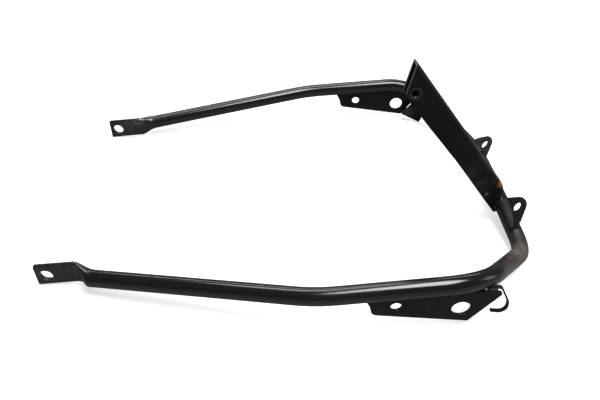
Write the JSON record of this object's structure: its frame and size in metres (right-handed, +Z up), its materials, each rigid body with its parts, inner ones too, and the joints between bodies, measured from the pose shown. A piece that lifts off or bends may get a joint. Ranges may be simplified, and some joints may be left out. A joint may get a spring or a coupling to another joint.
{
  "type": "motorcycle_rear_subframe",
  "caption": "Black welded tube rear subframe of a motorcycle, with flattened bolted ends, holed gussets, mounting ears, a strip hook and a folded channel stay.",
  "frame": {"origin": "under the middle of the bounding box, on the floor it rests on", "axes": "+X rearwards from the flattened ends to the cross tube, +Y to the rider's right, +Z up"},
  "size_m": [0.4118, 0.34, 0.1553],
  "materials": {
    "black_paint": "semi-gloss black, dusty and worn, with rust spots",
    "bare_steel": "bare, dull"
  },
  "bodies": {
    "root": {"loop_tube": "black_paint", "left_gusset": "black_paint", "right_gusset": "black_paint", "channel_stay": "black_paint", "threaded_insert": "bare_steel", "left_ear": "black_paint", "right_ear": "black_paint", "strip_hook": "black_paint", "lower_tab": "black_paint", "left_gusset_welds": "black_paint", "right_gusset_welds": "black_paint", "left_ear_weld": "black_paint", "right_ear_weld": "black_paint", "stay_welds": "black_paint", "hook_weld": "black_paint", "tab_weld": "black_paint"}
  },
  "joints": []
}
